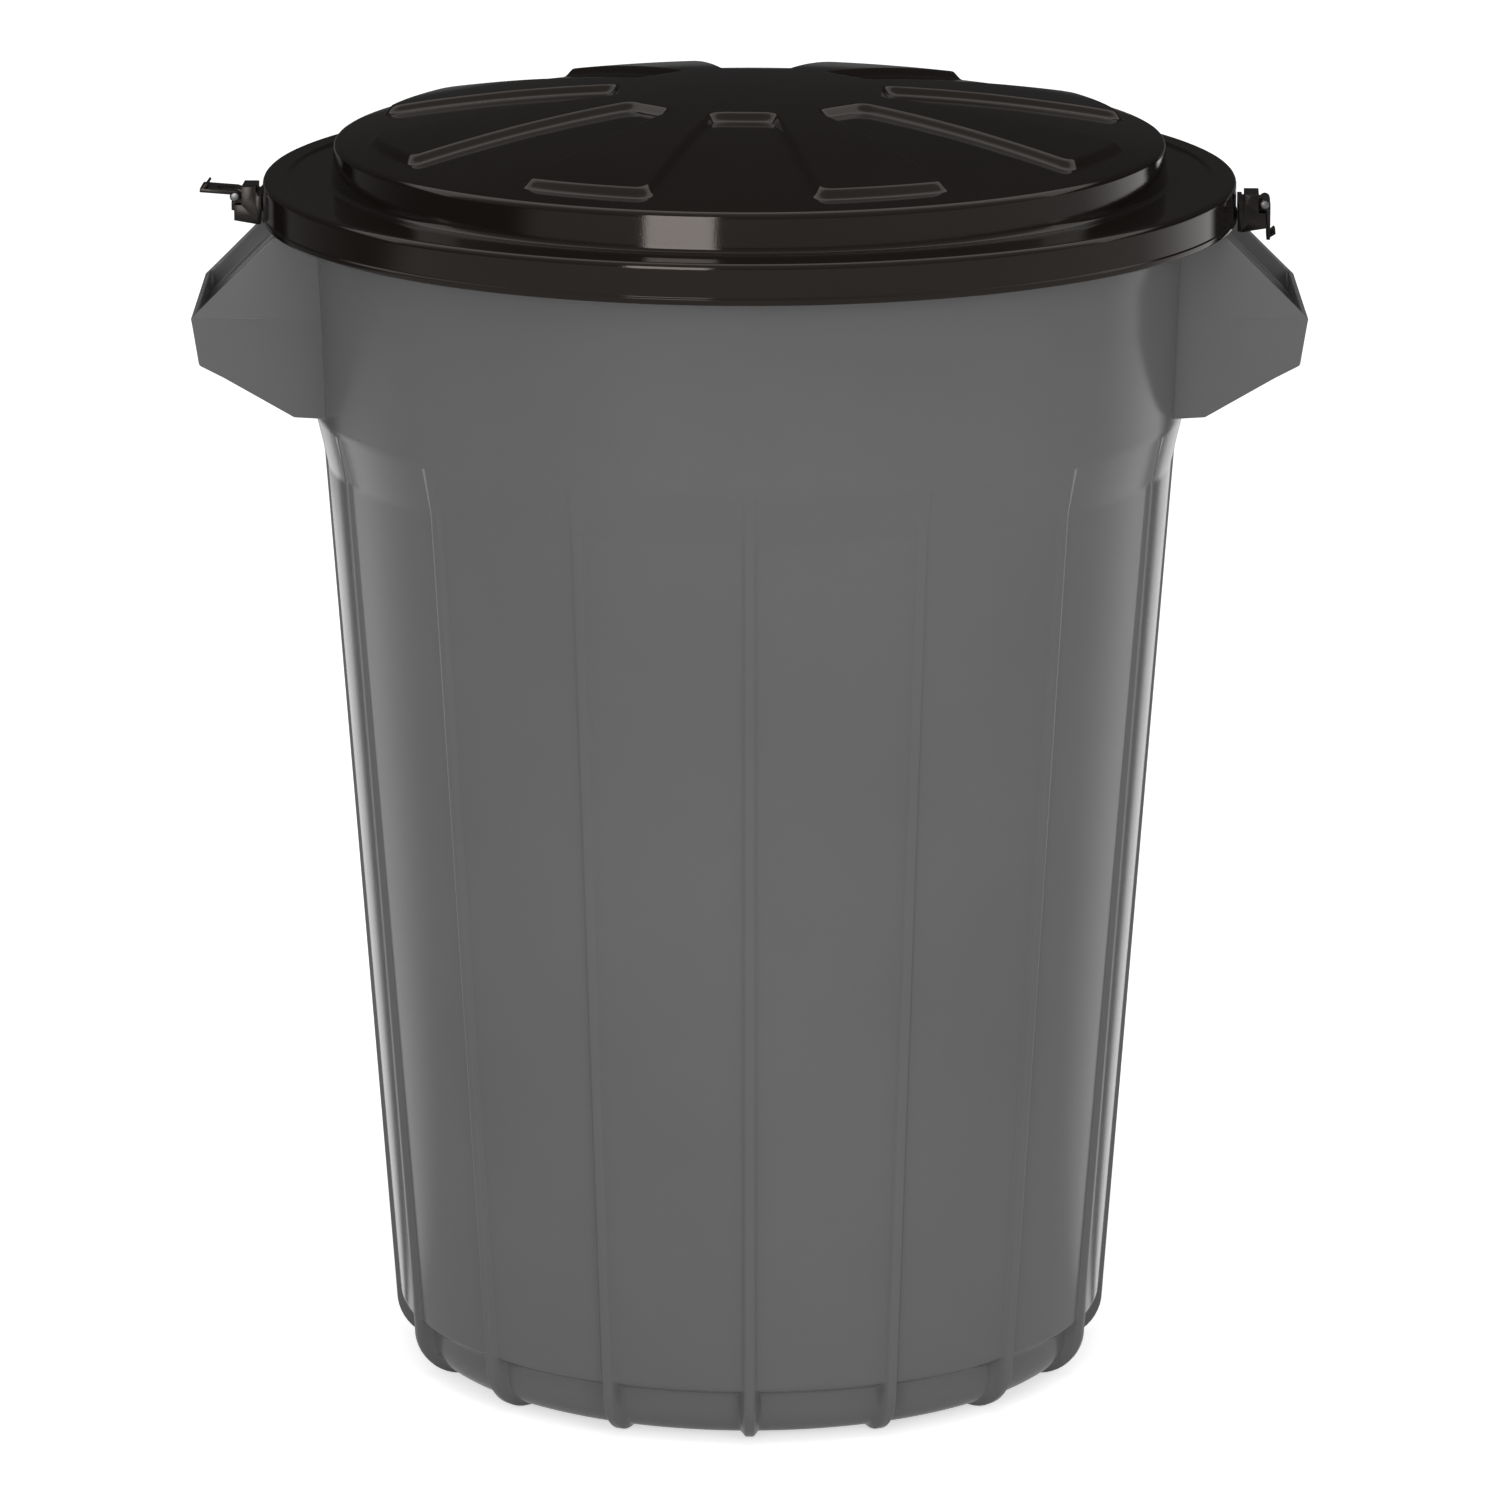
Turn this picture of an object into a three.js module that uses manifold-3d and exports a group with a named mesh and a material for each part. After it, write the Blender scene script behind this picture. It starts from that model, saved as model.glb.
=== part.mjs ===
// Round bin of about 110 litres with a lift-off lid and two lid clips.
// Millimetres, +Z up, origin on the ground under the middle of the bin, -Y is the front.
import * as THREE from 'three';
import { mergeVertices } from 'three/addons/utils/BufferGeometryUtils.js';
import Module from 'manifold-3d';

const wasm = await Module();
wasm.setup();

// ---------------------------------------------------------------- driving dimensions

const clearance = 0.3; // gap between pieces that seat on or run in each other
const past = 1; // how far a cut runs past a face, or a joined piece into its neighbour
const turns = 80; // facets round the bin and its lid
const cornerSteps = 5; // facets round the bottom corner

// Barrel: wall, floor and base
const barrelWall = 3.2;
const barrelHeight = 699.3; // ground to the top of the rim bead
const floorLift = 10; // underside of the floor above the ground
const ringFlat = 3.82; // base ring, from its inner flank to the bottom corner
const ringSlope = 4; // run of the ring's inner flank
const footDrop = 3; // how far the feet stand below the base ring
const cornerRadius = 20; // wall to base ring
const stepHeight = 31; // step round the base
const stepInset = 6.2;
const stepRise = 3.5; // height over which the step comes out
const stepInner = 1.9; // the inner step lies this much higher

// Barrel: ribs
const ribPitch = 23; // degrees between the ribs of the front, and between those of the back
const ribsBeside = 3; // ribs on each side of the front one and of the back one
const crestRadius = 207.4; // crest of the ribs at ground level
const wallTaper = 0.072; // radius gained per millimetre of height
const ribDepth = 3.1; // at ground level
const ribFade = 0.0027; // depth lost per millimetre of height
const ribWidth = 8;
const ribCorner = 29.3; // crest's radius round the bottom corner
const ribRoot = 1.6; // how far a rib is rooted in the wall

// Barrel: shoulder, upper band, flange and bead
const shoulderFoot = 538;
const shoulderTop = 568;
const shoulderInner = 1.8; // the inner shoulder lies this much higher
const bandRadius = 251.6; // at the top of the shoulder
const bandTaper = 0.037;
const flangeDrop = 5.3; // top of the flange below the top of the bead
const flangeThickness = 4;
const beadBeyond = 17.9; // inner face of the bead, out from the foot of the band
const beadWidth = 6.2;
const beadDepth = 13.3;
const beadRound = 1.8;

// Handles: two hollow wedges on +X and -X
const handleReach = 318.5; // tip from the middle of the bin
const handleWidth = 138;
const handleDraft = 1.6; // each cheek leans in by this much above and below the tip
const handleWall = 3.5;
const handleGap = 1.5; // cheeks end this far under the lid's skirt
const handleTopInset = 4.3; // the cheeks' sloping edge starts this far inside the bead's outer face
const handleEdgeDrop = 47.2; // and comes down by this much to the tip
const handleToe = { inset: 4.1, drop: 27.4 }; // corners of the underside, in and down from the tip
const handleHeel = { inset: 18.2, drop: 34.7 };
const handleFoot = { beyond: 8.9, drop: 57.8 }; // out from the foot of the band, and down from the tip
const handleRootDrop = 59.2;
const handleRootDepth = 19.6; // buried end, in from the foot of the band
const webDepth = 14; // web below the sloping edge of the cheeks

// Lid
const lidWall = 3;
const lidFit = 1.3; // bead to the inside of the skirt
const skirtDepth = 22.9;
const skirtLip = 1; // the lip at the skirt's foot stands this much proud
const skirtLipHeight = 3.8;
const rimRound = 2;
const landInset = 2.5; // the land starts this far inside the bead
const gutterDepth = 1.5;
const gutterRun = 1.5;
const gutterWidth = 28; // edge of the land to the plateau
const plateauRise = 20.4; // plateau's edge above the land
const plateauDraft = 1.6;
const plateauRound = 3;
const domeRise = 26.5;
const domeSteps = 6;
const padHeight = 4.6;
const padInset = 20; // pads end this far inside the plateau's edge
const padCount = 8;
const hubRadius = 77; // flat to flat across the valleys' inner ends
const valleyInner = 17.5; // half width of a valley at the hub
const valleySpread = 0.2153; // half width gained per millimetre outwards
const lidTurn = -2.5; // the lid sits turned by this many degrees
const skirtBelow = 5; // the lid's hollow is cut this far below the skirt

// Lid clips, drawn on +X: reaches from the saddle's outer face, y along the rim, levels from the skirt's foot
const saddleThickness = 2.6;
const saddleHalf = 19;
const saddleLevel = { foot: -5.1, top: 11.3 };
const saddleSteps = 6;
const housingInset = 0.5; // inner face of the block above the saddle
const housingHalf = 11.2;
const housingLevel = { inner: -7.1, outer: -4.7, shelf: 4.3, top: 14.9 };
const pocketHalf = 8.4;
const pocketReach = { inner: 3.1, outer: 10.1 };
const pocketLevel = 2.8;
const pivotOut = 12.6;
const pivotLevel = 9.3;
const knuckleRadius = 3;
const lugHalf = 4.2;
const nubShort = 0.2; // the nub ends this far short of the tongue's outer face
const nubHalf = 3.2;
const nubLevel = { foot: -0.3, top: 4.9 };
const pinRadius = 1.3;
const pinHead = { radius: 2.3, length: 1.1 };
const tongueHalf = 11.4;
const tongueLength = 20.5;
const tongueThickness = 2.2;
const tongueOffset = 2; // middle of the plate from the pivot
const slotEnd = 11; // slot's outer end from the pivot
const tongueLip = { reach: 3.2, rise: 3.4 }; // finger lip at the tongue's end
const tongueOpen = 94; // swing from hanging to swung out, in degrees
const pinTurns = 20;

// ---------------------------------------------------------------- materials

const greyPlastic = new THREE.MeshStandardMaterial({ color: 0x626262, roughness: 0.5, metalness: 0 });
const blackPlastic = new THREE.MeshStandardMaterial({ color: 0x14110f, roughness: 0.2, metalness: 0 });
const clipPlastic = new THREE.MeshStandardMaterial({ color: 0x1a1817, roughness: 0.4, metalness: 0 });
const pinSteel = new THREE.MeshStandardMaterial({ color: 0x8c8c8c, roughness: 0.35, metalness: 1 });

// ---------------------------------------------------------------- solids from three.js geometry

function signedVolume(position, triangles) {
  const corner = [new THREE.Vector3(), new THREE.Vector3(), new THREE.Vector3()];
  let volume = 0;
  for (let i = 0; i < triangles.length; i += 3) {
    corner.forEach((point, k) => point.fromBufferAttribute(position, triangles[i + k]));
    volume += corner[0].dot(corner[1].cross(corner[2])) / 6;
  }
  return volume;
}

// A closed geometry as a solid, with its faces turned outwards.
function toSolid(geometry) {
  const bare = geometry.clone();
  bare.deleteAttribute('normal');
  bare.deleteAttribute('uv');
  const merged = mergeVertices(bare, 1e-4);
  const position = merged.getAttribute('position');
  const triangles = [];
  for (let i = 0; i < merged.index.count; i += 3) {
    const [a, b, c] = [0, 1, 2].map((k) => merged.index.getX(i + k));
    if (a !== b && b !== c && c !== a) triangles.push(a, b, c);
  }
  if (signedVolume(position, triangles) < 0) triangles.reverse();
  const vertProperties = new Float32Array(position.array);
  const triVerts = new Uint32Array(triangles);
  return new wasm.Manifold(new wasm.Mesh({ numProp: 3, vertProperties, triVerts }));
}

function toMesh(name, solid, material) {
  const { vertProperties, triVerts, numProp } = solid.getMesh();
  const geometry = new THREE.BufferGeometry();
  const points = new Float32Array((vertProperties.length / numProp) * 3);
  for (let i = 0; i < points.length; i += 1) {
    points[i] = vertProperties[Math.floor(i / 3) * numProp + (i % 3)];
  }
  geometry.setAttribute('position', new THREE.BufferAttribute(points, 3));
  geometry.setIndex(new THREE.BufferAttribute(new Uint32Array(triVerts), 1));
  geometry.computeVertexNormals();
  const mesh = new THREE.Mesh(geometry, material);
  mesh.name = name;
  return mesh;
}

const radians = (degrees) => THREE.MathUtils.degToRad(degrees);
const points2 = (pairs) => pairs.map(([x, y]) => new THREE.Vector2(x, y));

// Points on an arc, angles in degrees.
function arc(x, y, radius, from, to, steps) {
  const points = [];
  for (let i = 0; i <= steps; i += 1) {
    const angle = radians(from + ((to - from) * i) / steps);
    points.push([x + radius * Math.cos(angle), y + radius * Math.sin(angle)]);
  }
  return points;
}

// A profile of [radius, height] that starts and ends on the axis, turned round Z.
function turned(profile, facets = turns) {
  const geometry = new THREE.LatheGeometry(points2(profile), facets);
  return toSolid(geometry.rotateX(Math.PI / 2));
}

// An outline of [x, z] extruded along Y between two places.
function acrossY(outline, from, to) {
  const shape = new THREE.Shape(points2(outline));
  const geometry = new THREE.ExtrudeGeometry(shape, { depth: to - from, bevelEnabled: false });
  return toSolid(geometry.rotateX(Math.PI / 2).translate(0, to, 0));
}

// An outline of [x, y] extruded upwards between two heights.
function upwards(outline, from, to) {
  const shape = new THREE.Shape(points2(outline));
  const geometry = new THREE.ExtrudeGeometry(shape, { depth: to - from, bevelEnabled: false });
  return toSolid(geometry.translate(0, 0, from));
}

// A round bar along Y through [x, z].
function barY(x, z, radius, from, to, facets = pinTurns) {
  const geometry = new THREE.CylinderGeometry(radius, radius, to - from, facets);
  return toSolid(geometry.translate(x, (from + to) / 2, z));
}

const box = (x, y, z) => upwards([[x[0], y[0]], [x[1], y[0]], [x[1], y[1]], [x[0], y[1]]], z[0], z[1]);
const join = (...solids) => solids.reduce((a, b) => a.add(b));

// ---------------------------------------------------------------- levels and reaches of the rim

const beadInner = bandRadius + beadBeyond;
const beadOuter = beadInner + beadWidth;
const landUnder = barrelHeight + clearance;
const landTop = landUnder + lidWall;
const skirtFoot = landTop - skirtDepth;
const handleTop = skirtFoot - handleGap;
const handleTopReach = beadOuter - handleTopInset;
const handleTipHeight = handleTop - handleEdgeDrop;
const handleRootHeight = handleTipHeight - handleRootDrop;
const handleRootReach = bandRadius - handleRootDepth;

// ---------------------------------------------------------------- barrel

const crestAt = (z) => crestRadius + wallTaper * z;
const wallAt = (z) => crestAt(z) - ribDepth + ribFade * z;
const bandAt = (z) => bandRadius + bandTaper * (z - shoulderTop);
const cornerHeight = footDrop + cornerRadius;
const cornerCentre = wallAt(cornerHeight) - stepInset - cornerRadius;
const ringInner = cornerCentre - ringFlat - ringSlope;
const footInner = ringInner + ringSlope / 2; // where a foot runs out under the base
const flangeTop = barrelHeight - flangeDrop;
const flangeUnder = flangeTop - flangeThickness;

// The wall from the bottom corner to the foot of the shoulder, at a given depth under its outside.
function wallLine(depth) {
  const share = depth / barrelWall;
  const stepTop = stepHeight + stepRise;
  return [
    ...arc(cornerCentre, cornerHeight, cornerRadius - depth, -90, 0, cornerSteps),
    [wallAt(stepHeight) - stepInset - depth, stepHeight + stepInner * share],
    [wallAt(stepTop) - depth, stepTop + stepInner * share],
    [wallAt(shoulderFoot) - depth, shoulderFoot + shoulderInner * share],
  ];
}

// The inside face, from the axis up to a given height.
function insideFace(top) {
  return [
    [0, floorLift + barrelWall],
    [ringInner + ringSlope / 2, floorLift + barrelWall],
    [ringInner + ringSlope + barrelWall / 2, footDrop + barrelWall],
    ...wallLine(barrelWall),
    [bandRadius - barrelWall, shoulderTop + shoulderInner],
    [bandAt(top) - barrelWall, top],
  ];
}

function barrelShell() {
  const outside = [
    [0, floorLift],
    [ringInner, floorLift],
    [ringInner + ringSlope, footDrop],
    ...wallLine(0),
    [bandRadius, shoulderTop],
    [bandAt(flangeUnder), flangeUnder],
    [beadInner, flangeUnder],
    [beadInner, barrelHeight - beadDepth],
    [beadOuter, barrelHeight - beadDepth],
    [beadOuter, barrelHeight - beadRound],
    [beadOuter - beadRound, barrelHeight],
    [beadInner + beadRound, barrelHeight],
    [beadInner, barrelHeight - beadRound],
    [beadInner, flangeTop],
  ];
  return turned([...outside, ...insideFace(flangeTop).reverse()]);
}

function rib() {
  const crestTop = (shoulderFoot + shoulderTop) / 2;
  const crestCentre = crestAt(ribCorner) - ribCorner;
  const outline = [
    [footInner, 0],
    ...arc(crestCentre, ribCorner, ribCorner, -90, 0, cornerSteps),
    [crestAt(crestTop), crestTop],
    ...wallLine(ribRoot).reverse(),
    [footInner, footDrop + ribRoot],
  ];
  return acrossY(outline, -ribWidth / 2, ribWidth / 2);
}

// One rib under each handle, and the others spread over the front and the back.
function ribAngles() {
  const angles = [0, 180];
  for (const middle of [-90, 90]) {
    for (let i = -ribsBeside; i <= ribsBeside; i += 1) angles.push(middle + i * ribPitch);
  }
  return angles;
}

// Wedge with a web let in below its sloping edges, and open underneath for the fingers.
function handle() {
  const half = handleWidth / 2;
  const slope = handleEdgeDrop / (handleReach - handleTopReach);
  const corners = [handleHeel, handleToe];
  const outline = [
    [handleRootReach, handleRootHeight],
    [bandRadius + handleFoot.beyond, handleTipHeight - handleFoot.drop],
    ...corners.map(({ inset, drop }) => [handleReach - inset, handleTipHeight - drop]),
    [handleReach, handleTipHeight],
    [handleTopReach, handleTop],
    [handleRootReach, handleTop],
  ];
  const drafted = [
    [-half + handleDraft, handleRootHeight - past],
    [half - handleDraft, handleRootHeight - past],
    [half, handleTipHeight],
    [half - handleDraft, handleTop + past],
    [-half + handleDraft, handleTop + past],
    [-half, handleTipHeight],
  ];
  const envelope = new THREE.ExtrudeGeometry(new THREE.Shape(points2(drafted)), {
    depth: handleReach + past - handleRootReach,
    bevelEnabled: false,
  });
  envelope.applyMatrix4(new THREE.Matrix4().makeBasis(
    new THREE.Vector3(0, 1, 0),
    new THREE.Vector3(0, 0, 1),
    new THREE.Vector3(1, 0, 0),
  ));
  envelope.translate(handleRootReach, 0, 0);
  const wedge = acrossY(outline, -half, half).intersect(toSolid(envelope));

  const inner = half - handleDraft - handleWall;
  const webTop = (x) => handleTop - slope * (x - handleTopReach) - webDepth;
  const webDrop = handleWall * Math.hypot(1, slope);
  const outerFace = handleReach - handleWall;
  const recess = acrossY([
    [handleTopReach - webDepth / slope, handleTop],
    [outerFace, webTop(outerFace)],
    [outerFace, handleTop + past],
    [handleTopReach - webDepth / slope, handleTop + past],
  ], -inner, inner);
  const lean = handleToe.inset / handleToe.drop;
  const insideToe = (z) => outerFace - lean * (handleTipHeight - z);
  const gripFoot = handleRootHeight - past;
  const gripTop = webTop(outerFace) - webDrop;
  const gripCeiling = handleTop - handleWall;
  const grip = acrossY([
    [handleRootReach, gripFoot],
    [insideToe(gripFoot), gripFoot],
    [insideToe(gripTop), gripTop],
    [outerFace - (gripCeiling - gripTop) / slope, gripCeiling],
    [handleRootReach, gripCeiling],
  ], -inner, inner);
  return wedge.subtract(recess).subtract(grip);
}

function barrel() {
  const inside = turned([...insideFace(barrelHeight), [0, barrelHeight]]);
  let body = barrelShell();
  for (const angle of ribAngles()) {
    body = body.add(rib().rotate([0, 0, angle]));
  }
  for (const side of [0, 180]) {
    body = body.add(handle().rotate([0, 0, side]).subtract(inside));
  }
  return body;
}

// ---------------------------------------------------------------- lid

const rimRadius = beadOuter + lidFit + lidWall;
const landInner = beadInner - landInset;
const plateauRadius = landInner - gutterWidth;
const padRadius = plateauRadius - padInset;
const gutterTop = landTop - gutterDepth;
const plateauTop = landTop + plateauRise;
const lipRadius = rimRadius + skirtLip;
const domeAt = (r) => plateauTop + domeRise * (1 - (r / plateauRadius) ** 2);

// The shallow dome from a radius in to the axis, lowered by a given depth.
function domeProfile(radius, lowered, steps) {
  const points = [];
  for (let i = 0; i <= steps; i += 1) {
    const r = (radius * (steps - i)) / steps;
    points.push([r, domeAt(r) - lowered]);
  }
  return points;
}

// The raised pads and their hub; inset gives the hollow under them.
function pads(inset) {
  const radius = padRadius - inset;
  const under = plateauTop - lidWall - past - inset;
  let raised = turned([[0, under], [radius, under], ...domeProfile(radius, inset - padHeight, domeSteps)]);
  const start = hubRadius - inset;
  const end = padRadius + past;
  const half = (x) => valleyInner + inset + valleySpread * (x - hubRadius);
  const outline = [[start, -half(start)], [end, -half(end)], [end, half(end)], [start, half(start)]];
  const valley = upwards(outline, under - past, domeAt(0) + padHeight + past);
  for (let i = 0; i < padCount; i += 1) {
    raised = raised.subtract(valley.rotate([0, 0, (i * 360) / padCount]));
  }
  return raised;
}

function lid() {
  const edge = plateauRadius - plateauRound;
  const outside = turned([
    [0, skirtFoot],
    [lipRadius, skirtFoot],
    [lipRadius, skirtFoot + skirtLipHeight],
    [rimRadius, skirtFoot + skirtLipHeight],
    [rimRadius, landTop - rimRound],
    [rimRadius - rimRound, landTop],
    [landInner, landTop],
    [landInner - gutterRun, gutterTop],
    [plateauRadius + plateauDraft, gutterTop],
    [plateauRadius, plateauTop - plateauRound],
    ...domeProfile(edge, 0, domeSteps),
  ]);
  const inner = edge - lidWall / 2;
  const inside = turned([
    [0, skirtFoot - skirtBelow],
    [rimRadius - lidWall, skirtFoot - skirtBelow],
    [rimRadius - lidWall, landUnder],
    [landInner + gutterRun, landUnder],
    [landInner, gutterTop - lidWall],
    [plateauRadius + plateauDraft - lidWall, gutterTop - lidWall],
    [plateauRadius - lidWall, plateauTop - plateauRound - lidWall / 2],
    ...domeProfile(inner, lidWall, domeSteps),
  ]);
  return outside.add(pads(0)).subtract(inside.add(pads(lidWall)));
}

// ---------------------------------------------------------------- lid clips

const saddleRadius = lipRadius + clearance;
const saddleOuter = saddleRadius + saddleThickness;
const pivotReach = saddleOuter + pivotOut;
const pivotHeight = skirtFoot + pivotLevel;
const hang = pivotReach + tongueOffset; // middle of the hanging tongue

function clipHousing() {
  const spread = THREE.MathUtils.radToDeg(Math.asin(saddleHalf / saddleRadius));
  const top = skirtFoot + saddleLevel.top;
  const saddle = upwards([
    ...arc(0, 0, saddleRadius, -spread, spread, saddleSteps),
    ...arc(0, 0, saddleOuter, spread, -spread, saddleSteps),
  ], skirtFoot + saddleLevel.foot, top);
  const root = saddleOuter - saddleThickness / 2;
  const face = hang - tongueThickness / 2 - clearance; // outer face below the knuckles
  const back = pivotReach - knuckleRadius - 2 * clearance; // outer face above them
  const shelf = skirtFoot + housingLevel.shelf;
  const block = acrossY([
    [root, skirtFoot + housingLevel.inner],
    [face, skirtFoot + housingLevel.outer],
    [face, shelf],
    [back, shelf],
    [back, skirtFoot + housingLevel.top],
    [saddleOuter + housingInset, skirtFoot + housingLevel.top],
    [saddleOuter + housingInset, top],
    [root, top],
  ], -housingHalf, housingHalf);
  const pocket = box(
    [saddleOuter + pocketReach.inner, saddleOuter + pocketReach.outer],
    [-pocketHalf, pocketHalf],
    [skirtFoot + housingLevel.inner - past, skirtFoot + pocketLevel],
  );
  const lug = join(
    box([back - past, pivotReach], [-lugHalf, lugHalf], [shelf - past, pivotHeight + knuckleRadius]),
    barY(pivotReach, pivotHeight, knuckleRadius, -lugHalf, lugHalf),
    box(
      [face - past, hang + tongueThickness / 2 - nubShort],
      [-nubHalf, nubHalf],
      [skirtFoot + nubLevel.foot, skirtFoot + nubLevel.top],
    ),
  );
  const bore = barY(pivotReach, pivotHeight, pinRadius + clearance, -lugHalf - past, lugHalf + past);
  const sides = [-1, 1].map((side) => {
    const [near, far] = [side * lugHalf, side * (housingHalf + past)].sort((a, b) => a - b);
    return barY(pivotReach, pivotHeight, knuckleRadius + clearance, near, far);
  });
  return join(block.subtract(pocket), saddle, lug).subtract(bore).subtract(join(...sides));
}

// Drawn hanging: two knuckles, a plate with its slot, and a finger lip at the foot.
function clipTongue() {
  const outer = hang + tongueThickness / 2;
  const inner = hang - tongueThickness / 2;
  const foot = pivotHeight - tongueLength;
  const plate = join(
    box([inner, outer], [-tongueHalf, tongueHalf], [foot, pivotHeight]),
    barY(pivotReach, pivotHeight, knuckleRadius, -tongueHalf, tongueHalf),
  );
  const lip = acrossY([
    [inner, foot],
    [outer + tongueLip.reach, foot + tongueLip.rise],
    [outer + tongueLip.reach - tongueThickness / 2, foot + tongueLip.rise + tongueThickness / 2],
    [outer, foot + tongueThickness],
    [inner, foot + tongueThickness],
  ], -tongueHalf, tongueHalf);
  const slotHalf = lugHalf + clearance;
  const slot = box(
    [pivotReach - knuckleRadius - past, outer + past],
    [-slotHalf, slotHalf],
    [pivotHeight - slotEnd, pivotHeight + knuckleRadius + past],
  );
  const bore = barY(pivotReach, pivotHeight, pinRadius + clearance, -tongueHalf - past, tongueHalf + past);
  return join(plate, lip).subtract(slot).subtract(bore);
}

function clipPin() {
  const end = tongueHalf + clearance;
  const profile = [
    [0, -end - pinHead.length],
    [pinHead.radius, -end - pinHead.length],
    [pinHead.radius, -end],
    [pinRadius, -end],
    [pinRadius, end],
    [pinHead.radius, end],
    [pinHead.radius, end + pinHead.length],
    [0, end + pinHead.length],
  ];
  return turned(profile, pinTurns).rotate([90, 0, 0]).translate([pivotReach, 0, pivotHeight]);
}

function swungOut(solid, degrees) {
  return solid
    .translate([-pivotReach, 0, -pivotHeight])
    .rotate([0, -degrees, 0])
    .translate([pivotReach, 0, pivotHeight]);
}

function clip(side, swing) {
  const group = new THREE.Group();
  group.add(toMesh(`${side}_clip_housing`, clipHousing(), clipPlastic));
  group.add(toMesh(`${side}_clip_tongue`, swungOut(clipTongue(), swing), clipPlastic));
  group.add(toMesh(`${side}_clip_pin`, clipPin(), pinSteel));
  return group;
}

// ---------------------------------------------------------------- assembly

const lidGroup = new THREE.Group();
lidGroup.rotation.z = radians(lidTurn);
lidGroup.add(toMesh('lid', lid(), blackPlastic));
lidGroup.add(clip('right', 0));
const leftClip = clip('left', tongueOpen);
leftClip.rotation.z = Math.PI;
lidGroup.add(leftClip);

const bin = new THREE.Group();
bin.add(toMesh('barrel', barrel(), greyPlastic));
bin.add(lidGroup);

export default bin;
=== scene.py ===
import math

import bmesh
import bpy
import numpy as np
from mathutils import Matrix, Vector


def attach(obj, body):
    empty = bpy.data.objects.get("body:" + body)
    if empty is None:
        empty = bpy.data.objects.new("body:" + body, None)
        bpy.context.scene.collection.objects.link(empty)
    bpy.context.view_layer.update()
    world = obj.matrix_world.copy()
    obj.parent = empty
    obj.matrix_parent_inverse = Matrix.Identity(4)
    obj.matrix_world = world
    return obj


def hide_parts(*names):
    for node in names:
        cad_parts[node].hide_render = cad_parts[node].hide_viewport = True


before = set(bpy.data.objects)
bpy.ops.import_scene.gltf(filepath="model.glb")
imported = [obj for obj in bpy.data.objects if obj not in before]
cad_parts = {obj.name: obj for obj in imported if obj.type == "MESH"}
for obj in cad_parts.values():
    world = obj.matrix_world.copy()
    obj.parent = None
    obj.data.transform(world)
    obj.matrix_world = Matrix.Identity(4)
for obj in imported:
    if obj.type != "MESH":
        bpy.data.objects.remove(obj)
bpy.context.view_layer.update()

# Sizes are in millimetres and angles in degrees, up to the studio, whose sizes are in metres.
# Meshes are scaled to metres when they are made.
MM = 0.001

# ---------------------------------------------------------------- sizes shared with the solids

WALL = 3.2
BARREL_TOP = 699.3

# Base: a raised floor, a ring round it, a rounded corner and a step above that.
FLOOR_LIFT = 10.0
FOOT_DROP = 3.0  # the ribs' feet reach this far below the ring
RING_INNER = 172.0
RING_SLOPE = 4.0
CORNER = 20.0
STEP_HEIGHT = 31.0
STEP_INSET = 6.2
STEP_RISE = 3.5
STEP_INNER = 1.9  # the step's corners lie this much higher on the inside

# Ribs, from their feet up to the shoulder.
RIB_PITCH = 23.0
RIBS_BESIDE = 3
CREST = 207.4  # reach of their crests at the ground, and what each millimetre of height adds
TAPER = 0.072
RIB_DEPTH = 3.1  # their height over the wall at the ground, and what each millimetre up takes off
RIB_FADE = 0.0027
RIB_CORNER = 29.3
FOOT_INNER = 174.0

# Shoulder, the smooth band above it, and the flange with its bead.
SHOULDER_FOOT = 538.0
SHOULDER_TOP = 568.0
BAND = 251.6
BAND_TAPER = 0.037
FLANGE_TOP = BARREL_TOP - 5.3
FLANGE_UNDER = FLANGE_TOP - 4.0
BEAD_INNER = 269.5
BEAD_OUTER = 275.7
BEAD_FOOT = BARREL_TOP - 13.3

# Handle on +X; its corners are (reach, height).
HANDLE_REACH = 318.5
HANDLE_TIP = 631.0
HANDLE_HALF = 69.0
HANDLE_DRAFT = 1.6
HANDLE_WALL = 3.5
HANDLE_TOP = 678.2
HANDLE_TOP_REACH = 271.4
HANDLE_TOE = (314.4, 603.6)
HANDLE_HEEL = (300.3, 596.3)
HANDLE_FOOT = (260.5, 573.2)
HANDLE_ROOT = 571.8
WEB_DEPTH = 14.0
RIDGE_SPAN = (277.0, 311.0)
RIDGE_HALF = 1.3
RIDGE_RISE = 0.6

# Lid: its skirt, the land on the bead, a gutter, and the plateau with its dome and pads.
LID_WALL = 3.0
LAND_TOP = BARREL_TOP + 0.3 + LID_WALL
RIM = BEAD_OUTER + 1.3 + LID_WALL
SKIRT_FOOT = LAND_TOP - 22.9
SKIRT_LIP = 0.8
SKIRT_LIP_HEIGHT = 3.8
LAND_INNER = 267.0
GUTTER = LAND_TOP - 1.5
PLATEAU = 239.0
PLATEAU_TOP = LAND_TOP + 20.4
PLATEAU_DRAFT = 1.6
DOME_RISE = 26.5
PAD_HEIGHT = 4.6
PAD_RADIUS = 219.0
PADS = 8
HUB = 77.0
VALLEY_HALF = 17.5
VALLEY_SPREAD = 0.2153
LID_TURN = -2.5


def crest_at(z):
    return CREST + TAPER * z


def wall_at(z):
    return crest_at(z) - RIB_DEPTH + RIB_FADE * z


def band_at(z):
    return BAND + BAND_TAPER * (z - SHOULDER_TOP)


# ---------------------------------------------------------------- mesh helpers

BEVEL_ANGLE = 30.0  # edges sharper than this are rounded
SIDE_SHARE = 0.49  # the most of a side that one rounding takes


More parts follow.
